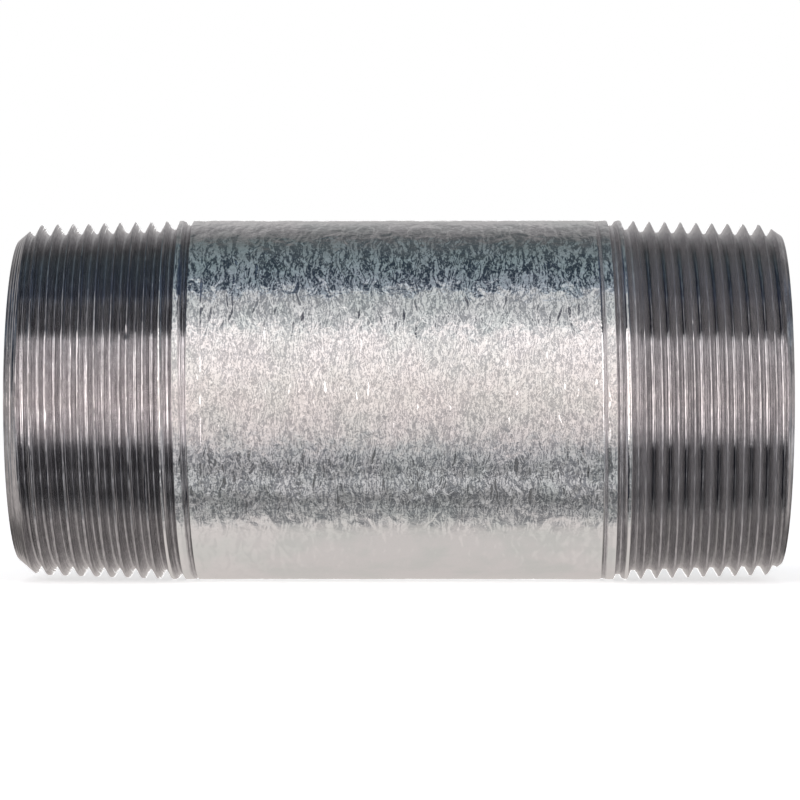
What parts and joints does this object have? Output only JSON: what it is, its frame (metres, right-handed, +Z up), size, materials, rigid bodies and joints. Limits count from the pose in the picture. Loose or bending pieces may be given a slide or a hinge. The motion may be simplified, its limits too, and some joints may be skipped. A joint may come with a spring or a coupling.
{
  "type": "threaded pipe nipple",
  "caption": "Short galvanised steel pipe with a right-hand tapered pipe thread on each end; joins two female pipe fittings end to end.",
  "frame": {"origin": "middle of the nipple, on the pipe's axis", "axes": "+X along the pipe's axis from the left threaded end to the right one, +Z up with the nipple lying on its side"},
  "size_m": [0.1544, 0.073, 0.073],
  "materials": {
    "cut_thread": "die-cut steel threads with tool marks, semi-gloss",
    "pipe_steel": "plain steel wall under the zinc",
    "outer_zinc": "hot-dip galvanised, finely pebbled, semi-gloss",
    "bore_zinc": "hot-dip galvanised, duller than outside"
  },
  "bodies": {
    "root": {"left_thread_end": "cut_thread", "right_thread_end": "cut_thread", "pipe_barrel": "pipe_steel", "outer_zinc_coat": "outer_zinc", "bore_zinc_coat": "bore_zinc"}
  },
  "joints": []
}
